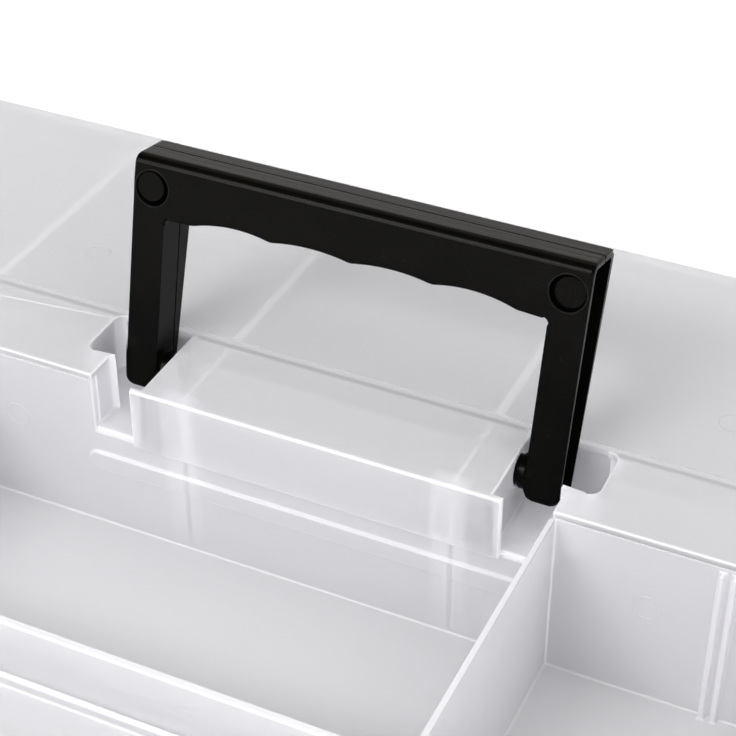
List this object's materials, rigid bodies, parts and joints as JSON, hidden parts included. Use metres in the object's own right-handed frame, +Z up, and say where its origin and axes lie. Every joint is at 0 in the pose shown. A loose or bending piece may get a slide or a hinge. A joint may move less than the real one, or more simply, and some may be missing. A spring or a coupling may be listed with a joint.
{
  "type": "compartment storage box",
  "caption": "Translucent parts organiser with lidded compartment trays either side of a spine that carries a black folding handle.",
  "frame": {"origin": "middle of the flat underside of the base", "axes": "+X to the right along the handle, +Y away from the open tray, +Z up"},
  "size_m": [0.372, 0.2861, 0.1014],
  "materials": {
    "clear_tray": "frosted translucent polypropylene",
    "clear_lid": "frosted translucent polypropylene",
    "clear_divider": "frosted translucent polypropylene",
    "black_plastic": "satin moulded",
    "steel": "drawn wire"
  },
  "bodies": {
    "base": {"tray_base": "clear_tray", "spine_cover": "clear_lid", "rear_divider_1": "clear_divider", "rear_divider_2": "clear_divider", "rear_divider_3": "clear_divider", "rear_divider_4": "clear_divider", "front_divider_1": "clear_divider", "front_divider_2": "clear_divider", "front_divider_3": "clear_divider", "front_hinge_pin_left": "steel", "front_hinge_pin_right": "steel", "rear_hinge_pin_left": "steel", "rear_hinge_pin_right": "steel"},
    "handle": {"handle": "black_plastic"},
    "front_lid": {"front_lid": "clear_lid"},
    "rear_lid": {"rear_lid": "clear_lid"},
    "turn_latch_left": {"turn_latch_left": "black_plastic"},
    "turn_latch_right": {"turn_latch_right": "black_plastic"}
  },
  "joints": [
    {"name": "handle_fold", "type": "hinge", "parent": "base", "child": "handle", "pos_m": [0, 0.003, 0.0453], "axis": [1, 0, 0], "range_deg": [-11.5, 110.5]},
    {"name": "front_lid_hinge", "type": "hinge", "parent": "base", "child": "front_lid", "pos_m": [0, -0.0992, 0.0425], "axis": [-1, 0, 0], "range_deg": [0, 180]},
    {"name": "rear_lid_hinge", "type": "hinge", "parent": "base", "child": "rear_lid", "pos_m": [0, 0.0992, 0.0425], "axis": [-1, 0, 0], "range_deg": [0, 180]},
    {"name": "latch_turn_left", "type": "hinge", "parent": "base", "child": "turn_latch_left", "pos_m": [-0.145, 0, 0.0505], "axis": [0, 0, 1], "range_deg": [0, 90]},
    {"name": "latch_turn_right", "type": "hinge", "parent": "base", "child": "turn_latch_right", "pos_m": [0.145, 0, 0.0505], "axis": [0, 0, 1], "range_deg": [0, 90]}
  ]
}
